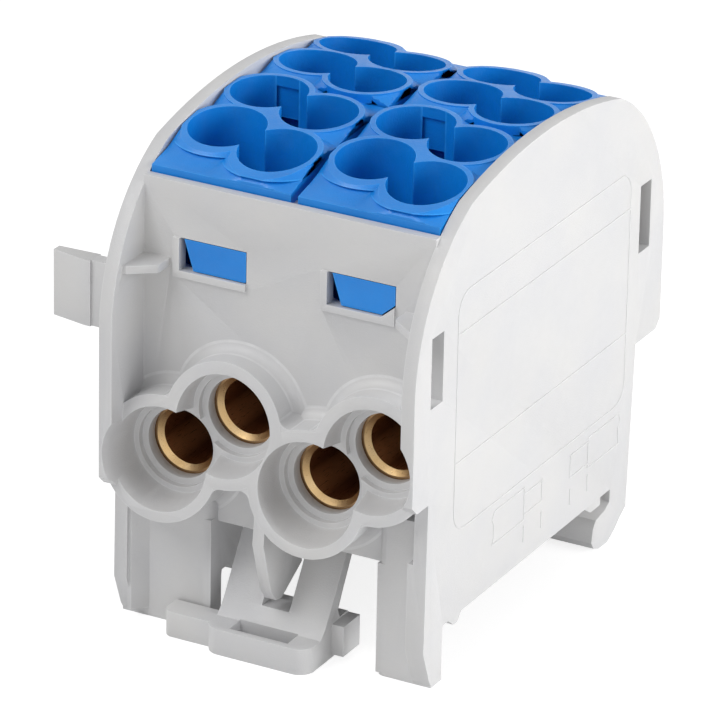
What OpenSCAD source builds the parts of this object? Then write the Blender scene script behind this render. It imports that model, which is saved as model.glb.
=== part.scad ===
// Tap connector for a 35 mm top-hat rail: moulded housing, two drilled brass
// clamp blocks, sixteen clamp screws, four finger-safe covers and a rail latch.
// Frame: origin at the centre of the rail seat, +X to the slotted side panel,
// +Y to the fixed rear claw, +Z up. Millimetres.

/* [Housing] */
// Width over the two side panels
body_w = 34.0; // [30:0.1:40]
// Depth over the wings of the side panels
body_d = 52.7; // [48:0.1:58]
// Height from the leg bottoms to the top of the arc
body_h = 49.9; // [45:0.1:55]
// Thickness of the side panels
panel_t = 1.4; // [1:0.05:2]
// Radius of the long arc on top of the side panels
arc_r = 58.7; // [50:0.1:80]
// Radius of the shoulders of the side panels
shoulder_r = 18.5; // [12:0.1:24]
// Height at which the wings end below
wing_z = 19.8; // [15:0.1:25]
// Outer face of the front and rear walls, from the middle
wall_y = 20.3; // [19:0.1:22]
// Thickness of the front and rear walls
wall_t = 1.0; // [0.8:0.05:2]
// Top edge of the front and rear walls
wall_top = 45.5; // [43:0.1:47]
// Bottom edge of the front wall and of the chamber floor
floor_z = 11.3; // [10:0.1:13]
// Top of the low chamber floor
floor_top = 14.4; // [13:0.1:16]
// Thickness of the wall between the two chambers
mid_t = 1.2; // [1:0.1:2]

/* [Wire entries] */
// Distance of each clamp block centre from the middle
block_x = 8.0; // [7:0.05:9]
// Half the distance between the two bores of a block
bore_dx = 3.3; // [3:0.05:4]
// Height of the low bore
bore_low_z = 18.6; // [17:0.1:20]
// Height of the high bore
bore_high_z = 23.3; // [22:0.1:25]
// Radius of the wire bores
bore_r = 2.85; // [2:0.05:3.2]
// Chamfer at the mouth of the bores
bore_cham = 0.5; // [0.2:0.05:0.8]
// Radius of the round window in the wall before each bore
entry_r = 3.6; // [3.3:0.05:4]
// Inner radius of the wire collars at the rim
collar_r = 5.4; // [5:0.05:6]
// Wall of the wire collars
collar_t = 0.9; // [0.8:0.05:1.5]
// Depth of the collar rim at the bottom, from the middle
rim_low_y = 25.4; // [24:0.1:26]
// Depth of the collar rim at the top, from the middle
rim_high_y = 23.3; // [22:0.1:26]
// Depth of the short rear collars, from the middle
rear_rim_y = 20.9; // [20.5:0.1:26]

/* [Brass blocks] */
// Play of the blocks in their chambers
block_play = 0.1; // [0.05:0.01:0.3]
// Brass left outside the bores
block_rim = 1.15; // [0.8:0.05:1.5]
// Thread depth above each bore
thread_h = 6.15; // [5:0.05:8]
// Brass under each bore
block_under = 1.35; // [1:0.05:2]

/* [Screws] */
// Radius of the clamp screws
screw_r = 2.45; // [2:0.05:3]
// Clearance round the screws in the brass
screw_play = 0.05; // [0.01:0.01:0.1]
// Length of the clamp screws
screw_l = 8.0; // [6:0.1:10]
// Width of the screwdriver slot
drive_w = 0.9; // [0.6:0.05:1.2]
// Depth of the screwdriver slot
drive_h = 1.4; // [1:0.05:2]
// How far the screws turn in
screw_travel = 4.0; // [2:0.1:5]

/* [Covers] */
// Distance of the outer screws of the left column from the middle
row_far = 12.0; // [11:0.1:14]
// Distance of the inner screws of the left column from the middle
row_near = 3.8; // [3:0.1:5]
// Stagger between the two screw columns
row_shift = 2.1; // [1:0.1:3]
// Radius of the screwdriver funnels
funnel_r = 3.85; // [3.5:0.05:4.2]
// Wall of the funnels
funnel_t = 0.55; // [0.5:0.05:1]
// Reach of the sloping foot round each funnel
funnel_root = 0.8; // [0.6:0.05:1.2]
// Height of the funnel rims in the middle
rim_z = 49.5; // [48:0.1:50]
// Radius of the arc that the funnel rims follow
rim_r = 76; // [60:0.5:100]
// Gap between the covers and between cover and housing
cover_gap = 0.15; // [0.1:0.01:0.3]
// Distance of the cover plates from the middle between the two columns
cover_mid = 0.4; // [0.2:0.05:0.6]
// Top of the cover plates at the front edge
plate_z = 46.2; // [45:0.1:47]
// Rise of the cover plates to the middle
plate_rise = 2.3; // [0.5:0.1:3]
// Underside of the cover plates
plate_under = 45.2; // [44:0.1:46]
// Lower end of the funnels
funnel_end = 35.2; // [34.9:0.1:38]
// Width of the snap windows
win_w = 7.2; // [6:0.1:9]
// Height of the snap windows
win_h = 3.3; // [2.5:0.1:4]
// Bottom of the snap windows
win_z = 36.6; // [35:0.1:39]
// Cut corner of the snap windows, across and up
win_cut = [1.4, 1.2]; // [0.5:0.1:2]
// Play of the cover hooks in the windows
hook_play = 0.1; // [0.05:0.01:0.2]

/* [Rail side] */
// Height of the rail seat over the leg bottoms
seat_z = 4.9; // [4:0.1:6]
// Distance of the rail centre from the middle, to the front
seat_y = 1.3; // [0:0.1:3]
// Height of the relieved line between the seat lips
relief_z = 5.75; // [5:0.05:6.5]
// Width of the left leg
leg_l = 9.8; // [8:0.1:11]
// Width of the right leg
leg_r = 6.0; // [5:0.1:8]
// Half width of the latch
latch_w = 5.7; // [5:0.1:6.2]
// Thickness of the latch foot
foot_h = 2.7; // [2:0.1:3.5]
// Radius of the bead at the root of the latch
bead_r = 1.0; // [0.8:0.05:1.3]
// Clearance round the bead
bead_play = 0.05; // [0.01:0.01:0.1]
// Half thickness of the fin
fin_t = 0.6; // [0.4:0.05:0.8]
// Opening angle of the latch
latch_open = 11; // [6:0.5:14]

/* [Side by side] */
// Height of the snap slots
snap_z = 33.2; // [30:0.05:36]
// Height of the snap slot opening
snap_h = 7.2; // [6:0.1:9]
// Depth of the snap slot opening
snap_d = 2.4; // [2:0.1:3]
// Distance of the snap slots from the middle
snap_y = 21.95; // [21:0.05:23]
// Play of a neighbour's peg in a slot
snap_play = 0.2; // [0.05:0.01:0.3]

/* [Hidden] */
$fn = 48;
half_w = body_w / 2;
in_x = half_w - panel_t;
half_d = body_d / 2;
arc_cz = body_h - arc_r;
block_y = wall_y - wall_t - block_play;
block_w = 2 * (bore_dx + bore_r + block_rim);
low_top = bore_low_z + bore_r + thread_h;
high_top = bore_high_z + bore_r + thread_h;
low_bot = floor_top;
high_bot = bore_high_z - bore_r - block_under;
collar_o = collar_r + collar_t;
funnel_o = funnel_r + funnel_t;
shelf_t = 0.8;
plate_y = wall_y - wall_t - cover_gap;
plate_x = in_x - cover_gap;
plate_r = (plate_y * plate_y + plate_rise * plate_rise) / (2 * plate_rise);
peg_h = snap_h - 2 * snap_play;
peg_d = snap_d - 2 * snap_play;
bead_y = -16.4;
bead_z = 12.6;
BORES = [[-block_x - bore_dx, bore_low_z], [-block_x + bore_dx, bore_high_z],
  [block_x - bore_dx, bore_low_z], [block_x + bore_dx, bore_high_z]];
grey = [0.86, 0.86, 0.87];
blue = [0.16, 0.5, 0.86];
brass = [0.8, 0.66, 0.38];
steel = [0.72, 0.73, 0.75];

// Put the moulding's own middle into the rail frame
module placed() { translate([0, seat_y, -seat_z]) children(); }

// Draw a y-z outline and carry it along x
module along_x(x0, x1) {
  translate([x0, 0, 0]) rotate([90, 0, 90]) linear_extrude(height = x1 - x0) children();
}

// A round bar along y
module bar_y(x, z, r1, r2, y0, y1) {
  translate([x, y1, z]) rotate([90, 0, 0]) cylinder(h = y1 - y0, r1 = r2, r2 = r1);
}

// Outline of a side panel in y-z, with its wings down to z0
module panel_outline(z0) {
  intersection() {
    translate([0, arc_cz]) circle(r = arc_r, $fn = 180);
    union() {
      wing_outline(z0);
      rail_outline();
    }
  }
}

// Upper part of a side panel with its round shoulders and cut lower corners
module wing_outline(z0) {
  intersection() {
    union() {
      for (s = [-1, 1])
        translate([s * (half_d - shoulder_r), wing_z + 11.2]) circle(r = shoulder_r, $fn = 96);
      translate([shoulder_r - half_d, z0]) square([2 * (half_d - shoulder_r), 40]);
      translate([-half_d, z0]) square([body_d, wing_z + 11.2 - z0]);
    }
    polygon([[-half_d, z0 + 0.9], [-half_d + 0.95, z0], [half_d - 0.95, z0],
      [half_d, z0 + 0.9], [half_d, 60], [-half_d, 60]]);
  }
}

// Lower part of a side panel, with the rail seat and the fixed claw
module rail_outline() {
  polygon([[-23.1, wing_z + 1], [-23.4, 4.3], [-22.1, 0.9], [-21.7, 0.3], [-21.2, 0], [-20.95, 0],
    [-20.4, 0.4], [-20.05, 1.2], [-19.9, 2.4], [-19.5, relief_z],
    [-18.4, relief_z], [-17.3, seat_z], [-16.5, seat_z], [-15.7, relief_z],
    [10.6, relief_z], [12.0, seat_z], [14.1, seat_z], [14.1, relief_z], [16.25, relief_z],
    [16.2, 4.4], [15.3, 3.85], [13.3, 3.5], [12.7, 2.7], [12.45, 1.3], [13.0, 0.5], [14.1, 0.05],
    [16.0, 0], [17.6, 0.8], [18.75, 1.7], [19.95, 2.4], [20.0, 3.4], [20.9, wing_z - 0.6],
    [20.9, wing_z + 1]]);
}

// Put something at each bore
module at_bores() {
  for (p = BORES) translate([p[0], 0, p[1]]) children();
}

// Solid of the front collars, cut to the slanted rim
module collars_front() {
  intersection() {
    at_bores() rotate([90, 0, 0]) cylinder(h = 30, r = collar_o);
    along_x(-half_w, half_w) polygon([[-wall_y + 0.2, 5], [-rim_low_y - 0.1, 11.7],
      [-rim_low_y, 12.5], [-rim_high_y, 29.6], [-rim_high_y + 0.15, 31], [-wall_y + 0.2, 32]]);
  }
}

// Hollow of the front collars: cone, step and round window
module collar_bores_front() {
  at_bores() {
    rotate([90, 0, 0]) translate([0, 0, wall_y + 0.9])
      cylinder(h = 5.2, r1 = collar_r - 0.6, r2 = collar_r);
    rotate([90, 0, 0]) translate([0, 0, wall_y + 0.2]) cylinder(h = 1, r = collar_r - 1.15);
    rotate([90, 0, 0]) translate([0, 0, wall_y - wall_t])
      cylinder(h = wall_t + 1, r = entry_r);
  }
}

module collars_rear() {
  intersection() {
    at_bores() rotate([-90, 0, 0]) translate([0, 0, wall_y - 0.2])
      cylinder(h = rear_rim_y - wall_y + 0.2, r1 = collar_o - 0.6, r2 = collar_o - 0.9);
    translate([-in_x - 0.1, 0, 0]) cube([2 * in_x + 0.2, 30, 40]);
  }
}

module collar_bores_rear() {
  at_bores() {
    rotate([-90, 0, 0]) translate([0, 0, wall_y - 0.2])
      cylinder(h = rear_rim_y - wall_y + 0.4, r1 = entry_r + 0.3, r2 = collar_r - 0.4);
    rotate([-90, 0, 0]) translate([0, 0, wall_y - wall_t])
      cylinder(h = wall_t + 1, r = entry_r);
  }
}

// Snap window in x-z. Beside the right panel its lower corner is cut, and the hook
// that fills it has a slanted edge on its left
module window_outline(b, play, slant) {
  x1 = win_w / 2 - play;
  z0 = win_z + play;
  z1 = win_z + win_h - play;
  cut = b > 0 ? win_cut : [0.1, 0.1];
  polygon([[-x1 + 1.3 * slant, z0], [x1 - cut[0], z0], [x1, z0 + cut[1]], [x1, z1],
    [-x1 + 0.3 * slant, z1]]);
}

// Both snap windows of the front wall
module window_cut() {
  for (b = [-1, 1]) translate([b * block_x, -wall_y + wall_t + 1, 0]) rotate([90, 0, 0])
    linear_extrude(height = wall_t + 2) window_outline(b, 0, 0);
}

// Raised border left of and under each snap window
module window_border() {
  for (b = [-1, 1]) translate([b * block_x - win_w / 2 - 0.7, -wall_y - 0.3, win_z - 0.7])
    cube([win_w + 0.7, 0.5, win_h + 0.7]);
}

// Corner shelf between a side panel and the front wall, over the snap slot
module shelf() {
  z = snap_z + snap_h / 2;
  for (s = [-1, 1]) hull() {
    translate([s * in_x - 0.4, -24.4, z]) cube([0.8, 5, shelf_t]);
    translate([s * (in_x - 2.3), -22.2, z]) cylinder(h = shelf_t, r = 0.6, $fn = 24);
    translate([s * (in_x - 2.3) - 0.6, -wall_y - 0.1, z]) cube([1.2, 0.5, shelf_t]);
  }
}

// Barbed snap peg that reaches out of the left panel
module peg() {
  translate([-half_w - 3.1, -snap_y - peg_d / 2 + 0.25, snap_z - peg_h / 2])
    cube([3.4, peg_d - 0.5, peg_h]);
  translate([0, 0, snap_z - peg_h / 2]) linear_extrude(height = peg_h)
    polygon([[-half_w - 3.0, -snap_y - peg_d / 2], [-half_w - 3.6, -snap_y - peg_d / 2],
      [-half_w - 7.5, -snap_y - peg_d / 2 + 0.75], [-half_w - 7.5, -snap_y + peg_d / 2 - 0.2],
      [-half_w - 3.0, -snap_y + peg_d / 2]]);
}

// Fin under the middle of the wire collars
module fin() {
  along_x(-fin_t, fin_t) polygon([[-wall_y + 0.1, 18], [-24.8, 17], [-25.35, 12.4], [-23.7, 7.0],
    [-22.7, 5.7], [-21.6, 5.5], [-17.6, 7.8], [-18.0, floor_z + 0.4], [-wall_y + 0.1, floor_z + 0.4]]);
}

// Leg plate of width w with a round inner edge, on side s
module leg(s, w) {
  mirror([s < 0 ? 0 : 1, 0, 0]) translate([-half_w, -21.7, 0]) linear_extrude(height = 17) {
    square([w - 0.9, 2.1]);
    translate([0, 0.9]) square([w, 1.2]);
    translate([w - 0.9, 0.9]) circle(r = 0.9, $fn = 24);
  }
}

module housing_solid() {
  // side panels; the left wings reach down as far as its low bores
  along_x(-half_w, -in_x) panel_outline(wing_z - bore_high_z + bore_low_z);
  along_x(in_x, half_w) panel_outline(wing_z);
  // front and rear walls, middle wall
  translate([-in_x - 0.1, -wall_y, floor_z]) cube([2 * in_x + 0.2, wall_t, wall_top - floor_z]);
  translate([-in_x - 0.1, wall_y - wall_t, floor_z]) cube([2 * in_x + 0.2, wall_t, wall_top - floor_z]);
  translate([-mid_t / 2, -wall_y + 0.5, floor_z]) cube([mid_t, 2 * wall_y - 1, plate_under - floor_z]);
  // chamber floors, stepped under the blocks
  translate([-in_x - 0.1, -wall_y + 0.1, floor_z])
    cube([2 * in_x + 0.2, 2 * wall_y - 0.2, floor_top - floor_z]);
  for (x = [[-block_x, -mid_t / 2 + 0.1], [block_x, in_x + 0.1]])
    translate([x[0] + 0.2, -wall_y + 0.1, floor_z])
      cube([x[1] - x[0] - 0.2, 2 * wall_y - 0.2, high_bot - floor_z]);
  collars_front();
  collars_rear();
  window_border();
  rotate([0, 0, 180]) window_border();
  shelf();
  mirror([0, 1, 0]) shelf();
  peg();
  mirror([0, 1, 0]) peg();
  fin();
  // legs in front
  leg(-1, leg_l);
  leg(1, leg_r);
  // slanted step beside the left leg, and the thicker front edge of the right one
  translate([-in_x - 0.1, -23, 0.9]) linear_extrude(height = floor_z)
    polygon([[0, 0], [0.4, 0], [1.8, 1.4], [0, 1.4]]);
  along_x(in_x - 0.6, in_x + 0.1) intersection() {
    rail_outline();
    translate([-24, 0]) square([2.6, floor_z + 2]);
  }
  // long ribs over the rail and the claw bar
  for (x = [-half_w + leg_l - 1.2, half_w - leg_r]) along_x(x, x + 1.2) intersection() {
    rail_outline();
    translate([-21.7, 0]) square([43, floor_z + 0.5]);
  }
  along_x(-half_w + 0.1, half_w - 0.1) intersection() {
    rail_outline();
    union() {
      translate([10.3, 0]) square([9, relief_z + 1.4]);
      translate([18.6, 0]) square([3, floor_z + 0.5]);
    }
  }
}

module housing() {
  placed() color(grey) difference() {
    housing_solid();
    collar_bores_front();
    collar_bores_rear();
    window_cut();
    rotate([0, 0, 180]) window_cut();
    // snap slots in the right panel
    for (s = [-1, 1]) translate([in_x - 0.5, s * snap_y - snap_d / 2, snap_z - snap_h / 2])
      cube([panel_t + 1, snap_d, snap_h]);
    // socket for the latch bead and slot for its tongue
    translate([-latch_w - 0.15, bead_y, bead_z]) rotate([0, 90, 0])
      cylinder(h = 2 * latch_w + 0.3, r = bead_r + bead_play);
    along_x(-latch_w - 0.15, latch_w + 0.15) polygon([[-18.2, floor_z - 0.5], [-15.2, floor_z - 0.5],
      [-15.7, 11.9], [-15.75, 12.2], [-17.25, 12.2], [-17.2, 11.95], [-17.7, floor_z]]);
  }
}

// One brass block: z-shaped bar with two bores and eight screw holes
module clamp_block(x) {
  difference() {
    translate([x, block_y, 0]) rotate([90, 0, 0]) linear_extrude(height = 2 * block_y)
      polygon([[-block_w / 2, low_bot], [0, low_bot], [0, high_bot], [block_w / 2, high_bot],
        [block_w / 2, high_top], [0, high_top], [0, low_top], [-block_w / 2, low_top]]);
    for (c = [[-bore_dx, bore_low_z], [bore_dx, bore_high_z]]) {
      bar_y(x + c[0], c[1], bore_r, bore_r, -block_y - 1, block_y + 1);
      bar_y(x + c[0], c[1], bore_r + bore_cham, bore_r, -block_y - 0.001, -block_y + bore_cham);
      bar_y(x + c[0], c[1], bore_r, bore_r + bore_cham, block_y - bore_cham, block_y + 0.001);
    }
    for (k = [0 : 3]) {
      translate([x - bore_dx, screw_row(0, k), bore_low_z]) cylinder(h = 20, r = screw_r + screw_play);
      translate([x + bore_dx, screw_row(1, k), bore_high_z]) cylinder(h = 20, r = screw_r + screw_play);
    }
  }
}

// y of screw k of a column: column 0 is over the low bore
function screw_row(col, k) = col == 0
  ? [-row_far, -row_near, row_near + row_shift, row_far + row_shift][k]
  : [-row_far - row_shift, -row_near - row_shift, row_near, row_far][k];

module clamp_block_left() { placed() color(brass) clamp_block(-block_x); }
module clamp_block_right() { placed() color(brass) clamp_block(block_x); }

// One clamp screw: slotted grub with a flat tip, open position
module clamp_screw(i) {
  col = floor((i - 1) / 4) % 2;
  side = i > 8 ? 1 : -1;
  top = col == 0 ? bore_low_z : bore_high_z;
  placed() color(steel)
    translate([side * block_x + (col == 0 ? -bore_dx : bore_dx), screw_row(col, (i - 1) % 4), top + bore_r])
      difference() {
        union() {
          cylinder(h = 0.5, r1 = screw_r - 0.45, r2 = screw_r);
          translate([0, 0, 0.5]) cylinder(h = screw_l - 0.8, r = screw_r);
          translate([0, 0, screw_l - 0.3]) cylinder(h = 0.3, r1 = screw_r, r2 = screw_r - 0.3);
        }
        translate([-screw_r - 1, -drive_w / 2, screw_l - drive_h]) cube([2 * screw_r + 2, drive_w, drive_h + 1]);
      }
}

// Four funnel places of a front cover; b is -1 on the left, 1 on the right
function funnels(b) = [for (k = [0, 1]) for (c = [0, 1])
  [b * block_x + (c == 0 ? -bore_dx : bore_dx), screw_row(c, k)]];

// Four-sided web between the funnel centres
module web_outline(b) {
  f = funnels(b);
  polygon([f[0], f[1], f[3], f[2]]);
}

// Height of the cover plate at depth y
function plate_at(y) = plate_z + plate_rise - y * y / (2 * plate_r);

// Cover from above, from x0 to x1
module cover_outline(x0, x1) {
  translate([x0, -plate_y]) square([x1 - x0, plate_y - cover_gap]);
}

// Round bar across the part whose top, at the middle, is at height z
module arc_bar(z, r) {
  translate([-20, 0, z - r]) rotate([0, 90, 0]) cylinder(h = 40, r = r, $fn = 360);
}

// Plate with its arched top, and funnel rings with soft feet and a solid web
module cover_top(b, x0, x1) {
  intersection() {
    translate([0, 0, plate_under]) linear_extrude(height = 8) cover_outline(x0, x1);
    arc_bar(plate_z + plate_rise, plate_r);
  }
  intersection() {
    union() {
      for (p = funnels(b)) translate([p[0], p[1], 0]) {
        translate([0, 0, plate_under]) cylinder(h = 6, r = funnel_o);
        translate([0, 0, plate_at(p[1]) - 0.3]) cylinder(h = 0.8, r1 = funnel_o + funnel_root, r2 = funnel_o);
      }
      translate([0, 0, plate_under]) linear_extrude(height = 6) web_outline(b);
    }
    arc_bar(rim_z, rim_r);
    translate([0, 0, plate_under]) linear_extrude(height = 8) cover_outline(x0, x1);
  }
}

// Skirt behind the front wall and the hook that fills the snap window
module cover_hook(b) {
  translate([-win_w / 2 + 0.9, -plate_y, win_z - 1.2])
    cube([win_w - 1.8, 1.2, plate_under + 1.7 - win_z]);
  translate([0, 0.8 - plate_y, 0]) rotate([90, 0, 0])
    linear_extrude(height = wall_y - 0.05 - plate_y + 0.8) window_outline(b, hook_play, 1);
}

// Snap-in cover over the front half of one block
module cover(b) {
  x0 = b < 0 ? -plate_x : cover_mid;
  x1 = b < 0 ? -cover_mid : plate_x;
  tube_in = mid_t / 2 + 0.1;
  difference() {
    union() {
      cover_top(b, x0, x1);
      // funnel tubes below the plate, clear of the middle wall
      intersection() {
        for (p = funnels(b)) translate([p[0], p[1], funnel_end])
          cylinder(h = plate_under - funnel_end + 0.5, r = funnel_o);
        translate([0, 0, funnel_end]) linear_extrude(height = plate_under + 1 - funnel_end)
          cover_outline(b < 0 ? x0 : tube_in, b < 0 ? -tube_in : x1);
      }
      // web between the tubes, with the feet that hold the brass block down
      translate([0, 0, funnel_end]) linear_extrude(height = plate_under - funnel_end + 0.5) web_outline(b);
      for (c = [0, 1])
        translate([b * block_x + (c == 0 ? -1.45 : 0.15), (screw_row(c, 0) + screw_row(c, 1)) / 2 - 1.3,
          high_top]) cube([1.3, 2.6, funnel_end - high_top + 1]);
      translate([b * block_x, 0, 0]) cover_hook(b);
    }
    for (p = funnels(b)) translate([p[0], p[1], 0]) {
      translate([0, 0, funnel_end - 1]) cylinder(h = 20, r = funnel_r);
      translate([0, 0, low_top]) cylinder(h = 10, r = screw_r + 0.4);
    }
  }
}

module cover_front_left() { placed() color(blue) cover(-1); }
module cover_front_right() { placed() color(blue) cover(1); }
module cover_rear_left() { placed() color(blue) rotate([0, 0, 180]) cover(1); }
module cover_rear_right() { placed() color(blue) rotate([0, 0, 180]) cover(-1); }

// Sprung rail latch: bead, slanted tongue with a window, foot with slot and hook
module rail_latch() {
  placed() color(grey) difference() {
    union() {
      translate([-latch_w, bead_y, bead_z]) rotate([0, 90, 0]) cylinder(h = 2 * latch_w, r = bead_r);
      along_x(-latch_w, latch_w) polygon([[-16.9, 12.2], [-17.0, 11.8], [-17.35, 11.2], [-17.8, 10.5],
        [-20.2, 6.6], [-21.3, 4.8], [-22.1, 3.6], [-23.0, foot_h], [-24.5, foot_h], [-24.5, 0],
        [-18.3, 0], [-17.3, 1.5], [-17.3, 3.5], [-17.6, 3.75], [-19.2, 3.75], [-19.6, 4.6],
        [-18.5, 6.7], [-16.1, 11.0], [-15.95, 11.6], [-15.95, 12.2]]);
      // foot plate with round front corners
      hull() for (s = [-1, 1]) {
        translate([s * (latch_w - 1.6), -24.2, 0]) cylinder(h = foot_h, r = 1.6);
        translate([s * latch_w - (s > 0 ? 1 : 0), -21, 0]) cube([1, 2, foot_h]);
      }
      // ear on the left and hook end on the right
      hull() {
        translate([-latch_w - 4.1, -23.7, 0]) cylinder(h = foot_h, r = 1.0, $fn = 24);
        translate([-latch_w - 5.1, -22.3, 0]) cube([5.4, 0.3, foot_h]);
        translate([-latch_w - 0.3, -24.7, 0]) cube([0.5, 2.6, foot_h]);
      }
      translate([latch_w - 0.5, -20.8, 0.4]) cube([1.8, 3.3, 3.2]);
    }
    // window for the fin
    along_x(-1.5, 1.5) polygon([[-26, 4.2], [-17, 4.2], [-14, 10.8], [-15.4, 11.55], [-19, 11.55],
      [-22, 6]]);
    // screwdriver slot
    translate([-3.2, -25.0, -1]) cube([6.4, 2.1, foot_h + 2]);
  }
}

module screw_1() { clamp_screw(1); }
module screw_2() { clamp_screw(2); }
module screw_3() { clamp_screw(3); }
module screw_4() { clamp_screw(4); }
module screw_5() { clamp_screw(5); }
module screw_6() { clamp_screw(6); }
module screw_7() { clamp_screw(7); }
module screw_8() { clamp_screw(8); }
module screw_9() { clamp_screw(9); }
module screw_10() { clamp_screw(10); }
module screw_11() { clamp_screw(11); }
module screw_12() { clamp_screw(12); }
module screw_13() { clamp_screw(13); }
module screw_14() { clamp_screw(14); }
module screw_15() { clamp_screw(15); }
module screw_16() { clamp_screw(16); }

housing();
cover_front_left();
cover_front_right();
cover_rear_left();
cover_rear_right();
clamp_block_left();
clamp_block_right();
screw_1();
screw_2();
screw_3();
screw_4();
screw_5();
screw_6();
screw_7();
screw_8();
screw_9();
screw_10();
screw_11();
screw_12();
screw_13();
screw_14();
screw_15();
screw_16();
rail_latch();
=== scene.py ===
"""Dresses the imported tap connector: moulded plastics, brass, zinc-plated screws,
fine panel marks, studio light and the camera of the photograph."""

import math

import bmesh
import bpy
from mathutils import Matrix, Vector


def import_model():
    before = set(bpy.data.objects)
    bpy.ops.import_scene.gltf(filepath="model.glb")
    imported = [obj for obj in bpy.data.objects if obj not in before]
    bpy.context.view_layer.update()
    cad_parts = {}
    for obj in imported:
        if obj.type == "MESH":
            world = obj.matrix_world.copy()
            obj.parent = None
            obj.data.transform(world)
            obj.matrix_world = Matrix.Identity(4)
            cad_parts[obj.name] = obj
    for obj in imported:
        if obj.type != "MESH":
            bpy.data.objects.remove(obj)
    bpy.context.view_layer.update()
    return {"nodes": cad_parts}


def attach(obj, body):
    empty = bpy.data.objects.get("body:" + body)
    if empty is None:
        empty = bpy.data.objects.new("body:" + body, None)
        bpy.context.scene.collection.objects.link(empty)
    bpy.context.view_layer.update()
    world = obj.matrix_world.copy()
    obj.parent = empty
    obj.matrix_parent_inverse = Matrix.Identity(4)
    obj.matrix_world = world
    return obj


MM = 0.001

# Camera, in degrees and millimetres of the part frame
CAMERA_AZIMUTH = 28.03
CAMERA_ELEVATION = 23.72
CAMERA_ROLL = 1.136
CAMERA_TARGET = (-1.758, -0.808, 17.645)
CAMERA_DISTANCE = 605.5
SENSOR_WIDTH = 36.0
FOCAL_LENGTH = 310.15

# Rounding of the edges of the mouldings and screws, in millimetres
HOUSING_EDGE = 0.16
LATCH_EDGE = 0.15
SCREW_EDGE = 0.06

FLOOR_Z = -4.9

# Marks on the right panel: its face, and their own middle in the part frame
PANEL_X = 17.0
MARK_SHIFT = (1.3, -4.9)
MARK_WIRE = 0.085
MARK_SIDES = 8
MARK_FRAME = (-17.9, 18.55, 14.6, 39.3)
MARK_CORNER = 2.2
MARK_RULES = (35.2, 21.9)

# Places of the CAD that the scene's own pieces sit on, in the moulding's own middle
BLOCK_X = 8.0
BORE_DX = 3.3
BORE_Z = (18.6, 23.3)
ROW_NEAR = 3.8
RING_IN = 3.85
RING_OUT = 4.4
RIM_Z = 49.5
RIM_R = 76.0
RING_FOOT = 48.55
ROW_FAR = 12.0
ROW_SHIFT = 2.1
PLATE_TOP = 48.5
PLATE_R = 80.87
COVER_INNER = 0.4
COVER_OUTER = 15.45
COVER_FRONT = 19.15
COVER_PART = 0.15
FOOT_REACH = 2.4
FOOT_LIP = 0.1
FOOT_BEND = 2.2
FOOT_SINK = 0.02
COLLAR_OUT = 6.3
COLLAR_WALL_IN = 5.6
ROOT = 1.1
WALL_Y = 20.3
WALL_BOTTOM = 11.35
PANEL_MID = 16.4
RIM_LOW = (25.4, 12.5)
RIM_HIGH = (23.3, 29.6)

# Colours, linear
GREY = (0.60, 0.60, 0.61)
GREY_WARM = (0.63, 0.625, 0.62)
# lighter grey of the painted highlight on edges and creases
GREY_PAINTED_HIGHLIGHT = (0.74, 0.74, 0.745)
BLUE = (0.004, 0.245, 0.76)
BLUE_DEEP = (0.002, 0.20, 0.66)
# lighter blue of the painted highlight on edges and creases
BLUE_PAINTED_HIGHLIGHT = (0.03, 0.36, 0.90)
BRASS_BRIGHT = (0.78, 0.56, 0.30)
BRASS_WARM = (0.72, 0.48, 0.22)
# painted shade for the brass mouths where they face away from up and right
BRASS_SHADE = (0.40, 0.25, 0.13)
# the next two: a painted reflection streak in the bores, and the painted dark-brown shade inside them
BORE_PAINTED_REFLECTION = (0.62, 0.25, 0.09)
BORE_PAINTED_SHADE = (0.20, 0.065, 0.022)
STEEL = (0.62, 0.62, 0.63)


def camera_frame():
    """Right, up and back directions of the camera."""
    a = math.radians(CAMERA_AZIMUTH)
    e = math.radians(CAMERA_ELEVATION)
    r = math.radians(CAMERA_ROLL)
    back = Vector((math.sin(a) * math.cos(e), -math.cos(a) * math.cos(e), math.sin(e)))
    level = Vector((math.cos(a), math.sin(a), 0.0))
    above = back.cross(level)
    right = level * math.cos(r) + above * math.sin(r)
    up = above * math.cos(r) - level * math.sin(r)
    return right, up, back


def make_camera():
    """The camera of the photograph."""
    right, up, back = camera_frame()
    data = bpy.data.cameras.new("camera")
    data.sensor_width = SENSOR_WIDTH
    data.lens = FOCAL_LENGTH
    data.clip_start = 0.01
    data.clip_end = 20.0
    camera = bpy.data.objects.new("camera", data)
    bpy.context.scene.collection.objects.link(camera)
    turn = Matrix((right, up, back)).transposed().to_4x4()
    place = Vector(CAMERA_TARGET) * MM + back * (CAMERA_DISTANCE * MM)
    camera.matrix_world = Matrix.Translation(place) @ turn
    bpy.context.scene.camera = camera


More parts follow.
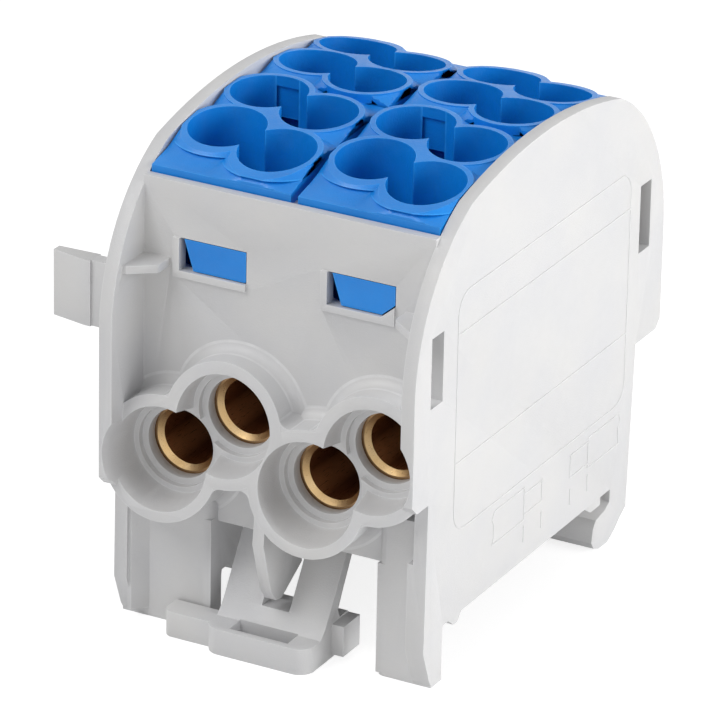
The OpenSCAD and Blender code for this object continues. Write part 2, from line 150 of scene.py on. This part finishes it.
class Nodes:
    """A short way to build a node material."""

    def __init__(self, name):
        self.material = bpy.data.materials.new(name)
        self.material.use_nodes = True
        self.tree = self.material.node_tree
        self.shader = self.tree.nodes["Principled BSDF"]
        self.place = self.new("ShaderNodeTexCoord").outputs["Object"]

    def new(self, kind, **inputs):
        node = self.tree.nodes.new(kind)
        for key, value in inputs.items():
            self.put(node.inputs[key.replace("_", " ")], value)
        return node

    def put(self, socket, value):
        if isinstance(value, bpy.types.NodeSocket):
            self.tree.links.new(value, socket)
        elif isinstance(value, tuple) and len(value) == 3 and socket.type == "RGBA":
            socket.default_value = (*value, 1.0)
        else:
            socket.default_value = value

    def noise(self, size, detail=3.0, rough=0.55, stretch=None):
        """Noise with features of about that size in millimetres."""
        where = self.place
        if stretch:
            mapping = self.new("ShaderNodeMapping", Vector=where)
            mapping.inputs["Scale"].default_value = stretch
            where = mapping.outputs["Vector"]
        node = self.new(
            "ShaderNodeTexNoise",
            Vector=where,
            Scale=1.0 / (size * MM),
            Detail=detail,
            Roughness=rough,
        )
        return node.outputs["Fac"]

    def span(self, value, a, b, low=0.0, high=1.0):
        """Maps value from a..b to low..high, clamped."""
        node = self.new("ShaderNodeMapRange", Value=value)
        node.inputs["From Min"].default_value = a
        node.inputs["From Max"].default_value = b
        node.inputs["To Min"].default_value = low
        node.inputs["To Max"].default_value = high
        return node.outputs["Result"]

    def mix(self, share, a, b):
        """Blends two colours."""
        node = self.tree.nodes.new("ShaderNodeMix")
        node.data_type = "RGBA"
        self.put(node.inputs[0], share)
        self.put(node.inputs[6], a)
        self.put(node.inputs[7], b)
        return node.outputs[2]

    def math(self, kind, a, b=0.0):
        node = self.tree.nodes.new("ShaderNodeMath")
        node.operation = kind
        self.put(node.inputs[0], a)
        self.put(node.inputs[1], b)
        return node.outputs[0]

    def edges(self, radius):
        """How far a point lies on a convex or concave edge, from 0 to 1."""
        bevel = self.new("ShaderNodeBevel")
        bevel.samples = 6
        bevel.inputs["Radius"].default_value = radius * MM
        flat = self.new("ShaderNodeNewGeometry").outputs["Normal"]
        dot = self.tree.nodes.new("ShaderNodeVectorMath")
        dot.operation = "DOT_PRODUCT"
        self.put(dot.inputs[0], bevel.outputs[0])
        self.put(dot.inputs[1], flat)
        return self.span(dot.outputs["Value"], 0.995, 0.85)

    def seen(self):
        """1 for camera, glossy and transmission rays."""
        path = self.new("ShaderNodeLightPath")
        total = self.math("MAXIMUM", path.outputs["Is Camera Ray"], path.outputs["Is Glossy Ray"])
        return self.math("MAXIMUM", total, path.outputs["Is Transmission Ray"])

    def facing(self, axis):
        """How far the surface faces along x, y or z (0, 1 or 2), from 0 to 1."""
        parts = self.new("ShaderNodeSeparateXYZ")
        self.put(parts.inputs[0], self.new("ShaderNodeNewGeometry").outputs["Normal"])
        return self.math("ABSOLUTE", parts.outputs[axis])

    def towards(self, way):
        """How far the surface faces a direction, from -1 to 1."""
        dot = self.tree.nodes.new("ShaderNodeVectorMath")
        dot.operation = "DOT_PRODUCT"
        self.put(dot.inputs[0], self.new("ShaderNodeNewGeometry").outputs["Normal"])
        dot.inputs[1].default_value = Vector(way).normalized()
        return dot.outputs["Value"]

    def bump(self, height, depth, strength=1.0):
        """Bump whose height runs to that depth in millimetres."""
        node = self.new("ShaderNodeBump", Height=height)
        node.inputs["Strength"].default_value = strength
        node.inputs["Distance"].default_value = depth * MM
        return node.outputs["Normal"]


def moulded(name, main, second, edge, rough, grain):
    """Moulded plastic: soft mottling, fine grain, painted highlight on edges and creases."""
    n = Nodes(name)
    mottle = n.span(n.noise(9.0, 4.0), 0.35, 0.68)
    colour = n.mix(mottle, main, second)
    # painted highlight: edges and creases, convex and concave alike, are lightened towards the edge colour,
    # broken up by noise
    painted_edge_highlight = n.math("MULTIPLY", n.edges(0.22), n.span(n.noise(1.6, 4.0), 0.3, 0.7, 0.35, 0.95))
    colour = n.mix(painted_edge_highlight, colour, edge)
    n.put(n.shader.inputs["Base Color"], colour)
    n.put(n.shader.inputs["Roughness"], n.span(n.noise(1.1, 5.0), 0.3, 0.7, rough - 0.06, rough + 0.08))
    fine = n.noise(grain, 4.0, 0.6)
    n.put(n.shader.inputs["Normal"], n.bump(fine, 0.03))
    return n.material


def brass():
    """Drilled brass: bright turned mouths and faces with painted highlight and painted shade, dark-brown
    brushed bores whose darkness is painted shade and whose lighter streak is a painted reflection.
    """
    n = Nodes("brass")
    open_face = n.span(n.facing(1), 0.2, 0.6)
    turned = n.noise(0.12, 3.0, 0.7, stretch=(1.0, 0.06, 1.0))
    # painted highlight and painted shade: the mouth's colour runs from the shade colour to bright brass as
    # it faces up and to the right, where turning marks would catch the light
    painted_light_share = n.span(n.towards((0.55, 0.0, 0.6)), 0.1, 0.62)
    bright = n.mix(n.span(n.noise(1.5, 4.0), 0.3, 0.7), BRASS_BRIGHT, BRASS_WARM)
    mouth = n.mix(painted_light_share, BRASS_SHADE, bright)
    # painted reflection: a lighter streak where the bore wall faces up and to the right, broken by brushed
    # noise; the rest of the bore is painted dark-brown shade
    glow = n.span(n.towards((0.75, 0.0, 0.65)), 0.86, 1.0)
    brushed = n.noise(0.25, 3.0, 0.6, stretch=(1.0, 12.0, 1.0))
    bore = n.mix(n.math("MULTIPLY", glow, n.span(brushed, 0.3, 0.6, 0.5, 1.0)), BORE_PAINTED_SHADE, BORE_PAINTED_REFLECTION)
    n.put(n.shader.inputs["Base Color"], n.mix(open_face, bore, mouth))
    n.put(n.shader.inputs["Metallic"], n.span(open_face, 0.0, 1.0, 0.45, 1.0))
    n.put(n.shader.inputs["Roughness"], n.span(turned, 0.3, 0.7, 0.24, 0.42))
    n.put(n.shader.inputs["Normal"], n.bump(turned, 0.02))
    return n.material


def steel():
    """Zinc-plated steel of the clamp screws."""
    n = Nodes("steel")
    n.shader.inputs["Metallic"].default_value = 1.0
    n.put(n.shader.inputs["Base Color"], n.mix(n.span(n.noise(0.9, 4.0), 0.3, 0.7), STEEL, (0.5, 0.5, 0.52)))
    scratches = n.noise(0.1, 3.0, 0.7, stretch=(1.0, 0.05, 1.0))
    n.put(n.shader.inputs["Roughness"], n.span(scratches, 0.3, 0.7, 0.24, 0.42))
    n.put(n.shader.inputs["Normal"], n.bump(scratches, 0.012))
    return n.material


def soften(node, width, angle=28.0):
    """Rounds the sharp edges of a CAD node with modifiers alone."""
    weld = node.modifiers.new("weld", "WELD")
    weld.merge_threshold = 0.002 * MM
    flat = node.modifiers.new("flat", "DECIMATE")
    flat.decimate_type = "DISSOLVE"
    flat.angle_limit = math.radians(0.6)
    bevel = node.modifiers.new("bevel", "BEVEL")
    bevel.width = width * MM
    bevel.segments = 2
    bevel.limit_method = "ANGLE"
    bevel.angle_limit = math.radians(angle)
    bevel.use_clamp_overlap = True
    bevel.harden_normals = True
    bevel.miter_outer = "MITER_ARC"


def crisp(node, angle=30.0):
    """Keeps turned and drilled edges sharp and round faces smooth."""
    weld = node.modifiers.new("weld", "WELD")
    weld.merge_threshold = 0.002 * MM
    split = node.modifiers.new("split", "EDGE_SPLIT")
    split.split_angle = math.radians(angle)


def give(node, material):
    node.data.materials.clear()
    node.data.materials.append(material)
    for face in node.data.polygons:
        face.material_index = 0
        face.use_smooth = True


def make_floor():
    """A plain pale floor that keeps the object's shadow."""
    bm = bmesh.new()
    bmesh.ops.create_grid(bm, x_segments=1, y_segments=1, size=3.0)
    mesh = bpy.data.meshes.new("floor")
    bm.to_mesh(mesh)
    bm.free()
    floor = bpy.data.objects.new("floor", mesh)
    bpy.context.scene.collection.objects.link(floor)
    floor.location.z = FLOOR_Z * MM
    n = Nodes("floor")
    n.shader.inputs["Base Color"].default_value = (0.8, 0.8, 0.8, 1.0)
    n.shader.inputs["Roughness"].default_value = 0.9
    seen = n.seen()
    glow = n.new("ShaderNodeEmission")
    glow.inputs["Strength"].default_value = 0.8
    lit = n.new("ShaderNodeBsdfDiffuse", Color=(0.4, 0.4, 0.4))
    both = n.tree.nodes.new("ShaderNodeAddShader")
    n.put(both.inputs[0], glow.outputs[0])
    n.put(both.inputs[1], lit.outputs[0])
    pick = n.tree.nodes.new("ShaderNodeMixShader")
    n.put(pick.inputs[0], seen)
    n.put(pick.inputs[1], n.shader.outputs[0])
    n.put(pick.inputs[2], both.outputs[0])
    n.put(n.tree.nodes["Material Output"].inputs["Surface"], pick.outputs[0])
    mesh.materials.append(n.material)


def make_world():
    """A white studio that lights less than it shows."""
    world = bpy.data.worlds.new("world")
    bpy.context.scene.world = world
    world.use_nodes = True
    tree = world.node_tree
    back = tree.nodes["Background"]
    back.inputs["Color"].default_value = (1.0, 1.0, 1.0, 1.0)
    path = tree.nodes.new("ShaderNodeLightPath")
    first = tree.nodes.new("ShaderNodeMath")
    first.operation = "MAXIMUM"
    tree.links.new(path.outputs["Is Camera Ray"], first.inputs[0])
    tree.links.new(path.outputs["Is Glossy Ray"], first.inputs[1])
    second = tree.nodes.new("ShaderNodeMath")
    second.operation = "MAXIMUM"
    tree.links.new(first.outputs[0], second.inputs[0])
    tree.links.new(path.outputs["Is Transmission Ray"], second.inputs[1])
    level = tree.nodes.new("ShaderNodeMapRange")
    level.inputs["To Min"].default_value = 0.35
    level.inputs["To Max"].default_value = 1.0
    tree.links.new(second.outputs[0], level.inputs["Value"])
    tree.links.new(level.outputs["Result"], back.inputs["Strength"])


def lamp(name, place, size, watts, aim=(0.0, 0.0, 20.0)):
    """A soft square lamp, place and aim in millimetres."""
    data = bpy.data.lights.new(name, "AREA")
    data.shape = "SQUARE"
    data.size = size * MM
    data.energy = watts
    obj = bpy.data.objects.new(name, data)
    bpy.context.scene.collection.objects.link(obj)
    obj.location = Vector(place) * MM
    way = (Vector(aim) - Vector(place)).normalized()
    obj.rotation_mode = "QUATERNION"
    obj.rotation_quaternion = way.to_track_quat("-Z", "Y")


def make_lights():
    lamp("key_right", (420.0, 40.0, 130.0), 260.0, 1.55)
    lamp("top_left", (-220.0, -260.0, 420.0), 300.0, 1.3)
    lamp("front", (60.0, -480.0, 120.0), 240.0, 0.2)


def dress(frame):
    """Gives every CAD node its finish."""
    grey = moulded("grey_plastic", GREY, GREY_WARM, GREY_PAINTED_HIGHLIGHT, 0.46, 0.16)
    blue = moulded("blue_plastic", BLUE, BLUE_DEEP, BLUE_PAINTED_HIGHLIGHT, 0.36, 0.2)
    yellow = brass()
    zinc = steel()
    for name, node in frame["nodes"].items():
        if name == "housing":
            give(node, grey)
            soften(node, HOUSING_EDGE)
        elif name == "rail_latch":
            give(node, grey)
            soften(node, LATCH_EDGE)
        elif name.startswith("cover"):
            give(node, blue)
            crisp(node)
        elif name.startswith("clamp_block"):
            give(node, yellow)
            crisp(node)
        else:
            give(node, zinc)
            soften(node, SCREW_EDGE)
    panel_marks(grey)
    soft_forms(grey, blue)


def stroke(name, points, material, closed=False):
    """A fine raised line on the right panel through (y, z) points in millimetres."""
    knots = [Vector(p) for p in points]
    rings = []
    for i, knot in enumerate(knots):
        before = (knot - knots[i - 1]).normalized() if closed or i > 0 else None
        after = (knots[(i + 1) % len(knots)] - knot).normalized() if closed or i + 1 < len(knots) else None
        before = before or after
        after = after or before
        along = (before + after).normalized()
        across = Vector((-along.y, along.x))
        width = MARK_WIRE / max(0.3, along.dot(before))
        ring = []
        for k in range(MARK_SIDES):
            turn = 2.0 * math.pi * k / MARK_SIDES
            side = knot + across * (width * math.cos(turn))
            ring.append((PANEL_X + MARK_WIRE * math.sin(turn), side.x, side.y))
        rings.append(ring)
    verts, faces = loft(rings)
    if closed:
        last = len(verts) - MARK_SIDES
        faces = faces[:-2]
        for i in range(MARK_SIDES):
            j = (i + 1) % MARK_SIDES
            faces.append((last + i, last + j, j, i))
    solid(name, verts, faces, "housing", material)


def round_frame(y0, y1, z0, z1, radius, steps=6):
    """Corner points of a rectangle with round corners."""
    points = []
    for y, z, start in (
        (y1 - radius, z1 - radius, 0.0),
        (y0 + radius, z1 - radius, 90.0),
        (y0 + radius, z0 + radius, 180.0),
        (y1 - radius, z0 + radius, 270.0),
    ):
        for i in range(steps + 1):
            turn = math.radians(start + 90.0 * i / steps)
            points.append((y + radius * math.cos(turn), z + radius * math.sin(turn)))
    return points


def plate_at(y):
    """Height of a cover plate's arched top."""
    return PLATE_TOP - y * y / (2.0 * PLATE_R)


def rim_at(y):
    """Height of the funnel rings' arched rim."""
    return RIM_Z - y * y / (2.0 * RIM_R)


def ring_feet(name, b, turn, material):
    """Soft feet of a cover's four funnel rings, running out on its plate. The rear
    covers are the front ones turned half round."""
    centres = [
        (b * BLOCK_X - BORE_DX, -ROW_FAR),
        (b * BLOCK_X + BORE_DX, -ROW_FAR - ROW_SHIFT),
        (b * BLOCK_X - BORE_DX, -ROW_NEAR),
        (b * BLOCK_X + BORE_DX, -ROW_NEAR - ROW_SHIFT),
    ]
    x0, x1 = sorted((b * COVER_INNER, b * COVER_OUTER))
    steps, bends = 90, 6
    verts, faces = [], []
    for c, centre in enumerate(centres):
        others = centres[:c] + centres[c + 1:]
        base = len(verts)
        for i in range(steps):
            angle = 2.0 * math.pi * i / steps
            for k in range(bends + 1):
                share = k / bends
                rho = RING_OUT - 0.03 + share * FOOT_REACH
                x = min(max(centre[0] + rho * math.cos(angle), x0), x1)
                y = min(max(centre[1] + rho * math.sin(angle), -COVER_FRONT), -COVER_PART)
                rise = max(0.0, rim_at(y) - FOOT_LIP - plate_at(y))
                z = plate_at(y) - FOOT_SINK + rise * (1.0 - share) ** FOOT_BEND
                verts.append((turn * x, turn * y, z))
        for i in range(steps):
            j = (i + 1) % steps
            for k in range(bends):
                face = [base + i * (bends + 1) + k, base + i * (bends + 1) + k + 1,
                        base + j * (bends + 1) + k + 1, base + j * (bends + 1) + k]
                spots = [(turn * verts[v][0], turn * verts[v][1]) for v in face]
                if all(math.dist(p, q) > RING_IN + 0.15 for p in spots for q in others):
                    faces.append(tuple(face))
    used = sorted({v for face in faces for v in face})
    place = {v: i for i, v in enumerate(used)}
    faces = [tuple(place[v] for v in face) for face in faces]
    solid(name, [verts[v] for v in used], faces, "cover", material, closed=False)


def panel_marks(material):
    """Blank rating frame, two wire pictograms and their strip length ticks."""
    y0, y1 = MARK_FRAME[:2]
    stroke("mark_frame", round_frame(*MARK_FRAME, MARK_CORNER), material, closed=True)
    for i, z in enumerate(MARK_RULES):
        stroke(f"mark_rule_{i}", [(y0, z), (y1, z)], material)
    # on the left, the jacket ends in a wave and its conductor points to the middle
    wave = [(-9.2, 13.6), (-9.75, 12.9), (-9.4, 12.2), (-9.36, 10.85), (-9.65, 10.15)]
    jacket = wave + [(-3.0, 10.15), (-3.0, 13.6)]
    stroke("mark_jacket_left", jacket, material, closed=True)
    stroke("mark_core_left", [(-3.0, 12.9), (0.8, 12.9), (0.8, 10.7), (-3.0, 10.7)], material)
    jacket = [(17.62, 13.5), (17.98, 12.62), (17.45, 11.85), (17.65, 10.23), (10.85, 10.23), (10.85, 13.5)]
    stroke("mark_jacket_right", jacket, material, closed=True)
    stroke("mark_core_right", [(10.85, 13.1), (6.95, 13.1), (6.95, 10.7), (10.85, 10.7)], material)
    for i, y in enumerate((-2.95, 0.85, 7.1, 10.9)):
        stroke(f"mark_tick_{i}", [(y, 9.5), (y, 7.75)], material)


def solid(name, verts, faces, slot, material, closed=True):
    """A mesh piece on the body from points in millimetres of the moulding's middle."""
    mesh = bpy.data.meshes.new(name)
    shift = Vector((0.0, *MARK_SHIFT))
    mesh.from_pydata([(Vector(v) + shift) * MM for v in verts], [], faces)
    if closed:
        bm = bmesh.new()
        bm.from_mesh(mesh)
        bmesh.ops.recalc_face_normals(bm, faces=bm.faces)
        bm.to_mesh(mesh)
        bm.free()
    piece = bpy.data.objects.new(name, mesh)
    bpy.context.scene.collection.objects.link(piece)
    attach(piece, "body")
    give(piece, material)
    crisp(piece)
    return piece


def loft(rings):
    """Points and faces of a closed solid through rings of equally many points."""
    count = len(rings[0])
    verts = [p for ring in rings for p in ring]
    faces = []
    for k in range(len(rings) - 1):
        for i in range(count):
            j = (i + 1) % count
            faces.append((k * count + i, k * count + j, (k + 1) * count + j, (k + 1) * count + i))
    faces.append(tuple(range(count)))
    faces.append(tuple(len(verts) - count + i for i in range(count)))
    return verts, faces


def ring_back(name, x, turn, material):
    """Back of a near funnel ring, which reaches past the parting line of the covers."""
    start = ROW_NEAR - 0.2
    half = math.sqrt(RING_OUT**2 - start**2)
    outer, inner = [], []
    for i in range(17):
        dx = half * math.cos(math.pi * i / 16)
        outer.append((dx, math.sqrt(RING_OUT**2 - dx * dx)))
        hole = math.sqrt(RING_IN**2 - dx * dx) if abs(dx) < RING_IN else 0.0
        inner.append((dx, max(start, hole)))
    outline = [(x + turn * dx, turn * (dy - ROW_NEAR)) for dx, dy in outer + inner[-2:0:-1]]
    low = [(px, py, RING_FOOT) for px, py in outline]
    high = [(px, py, RIM_Z - py * py / (2.0 * RIM_R)) for px, py in outline]
    solid(name, *loft([low, high]), "cover", material)


def bores():
    """x and z of the four bores, from left to right."""
    return [
        (side * BLOCK_X + way * BORE_DX, BORE_Z[way > 0])
        for side in (-1.0, 1.0)
        for way in (-1.0, 1.0)
    ]


def rim_y(z):
    """y of the collars' slanted rim at height z."""
    share = (z - RIM_LOW[1]) / (RIM_HIGH[1] - RIM_LOW[1])
    return -(RIM_LOW[0] + share * (RIM_HIGH[0] - RIM_LOW[0]))


def collar_root(name, centre, others, material):
    """Soft root between a wire collar and the front wall, left out inside its neighbours."""
    steps, bends = 120, 7
    rows = []
    for i in range(steps):
        turn = 2.0 * math.pi * i / steps
        row = [(COLLAR_OUT - 0.1, -0.1)]
        for k in range(bends + 1):
            bend = 0.5 * math.pi * k / bends
            row.append((COLLAR_OUT + ROOT * (1.0 - math.cos(bend)), ROOT * (1.0 - math.sin(bend))))
        rows.append([
            (centre[0] + rho * math.cos(turn), -WALL_Y - out, centre[1] + rho * math.sin(turn))
            for rho, out in row
        ])

    def keeps(p):
        clear = all(math.dist((p[0], p[2]), q) > COLLAR_WALL_IN for q in others)
        return clear and abs(p[0]) < PANEL_MID and p[2] > WALL_BOTTOM

    verts = [p for row in rows for p in row]
    count = bends + 2
    faces = []
    for i in range(steps):
        j = (i + 1) % steps
        for k in range(count):
            m = (k + 1) % count
            face = (i * count + k, j * count + k, j * count + m, i * count + m)
            if all(keeps(verts[v]) for v in face):
                faces.append(face)
    used = sorted({v for face in faces for v in face})
    place = {v: i for i, v in enumerate(used)}
    solid(name, [verts[v] for v in used], [tuple(place[v] for v in f) for f in faces], "housing", material)


def neck(name, p, q, side, material):
    """Soft neck that fills the notch between two collars, up to their rim."""
    p, q = Vector(p), Vector(q)
    along = (q - p).normalized()
    across = Vector((-along.y, along.x)) * side
    reach = COLLAR_OUT + ROOT
    half = (q - p).length / 2.0
    centre = (p + q) / 2.0 + across * math.sqrt(reach**2 - half**2)
    notch = (p + q) / 2.0 + across * (math.sqrt(COLLAR_OUT**2 - half**2) - 0.2)
    first = (p - centre).normalized()
    turn = first.angle_signed((q - centre).normalized())
    outline = [notch]
    for i in range(11):
        bend = -turn * i / 10.0
        ray = Vector((
            first.x * math.cos(bend) - first.y * math.sin(bend),
            first.x * math.sin(bend) + first.y * math.cos(bend),
        ))
        outline.append(centre + ray * ROOT)
    back = [(c.x, -WALL_Y + 0.2, c.y) for c in outline]
    front = [(c.x, rim_y(c.y) + 0.03, c.y) for c in outline]
    solid(name, *loft([back, front]), "housing", material)


def soft_forms(grey, blue):
    """Forms that the CAD keeps plain: roots and necks of collars, backs and feet of rings."""
    places = bores()
    for i, centre in enumerate(places):
        others = places[:i] + places[i + 1:]
        collar_root(f"collar_root_{i + 1}", centre, others, grey)
    for i in range(3):
        for side in (-1.0, 1.0):
            neck(f"collar_neck_{i + 1}{'a' if side > 0 else 'b'}", places[i], places[i + 1], side, grey)
    for side in (-1.0, 1.0):
        for turn in (1.0, -1.0):
            name = f"ring_back_{'left' if side < 0 else 'right'}_{'front' if turn > 0 else 'rear'}"
            ring_back(name, side * BLOCK_X - turn * BORE_DX, turn, blue)
            ring_feet(name.replace("back", "feet"), side * turn, turn, blue)


def main():
    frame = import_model()
    make_camera()
    bpy.context.scene.view_settings.view_transform = "Standard"
    make_world()
    make_lights()
    make_floor()
    dress(frame)
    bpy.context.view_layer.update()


main()
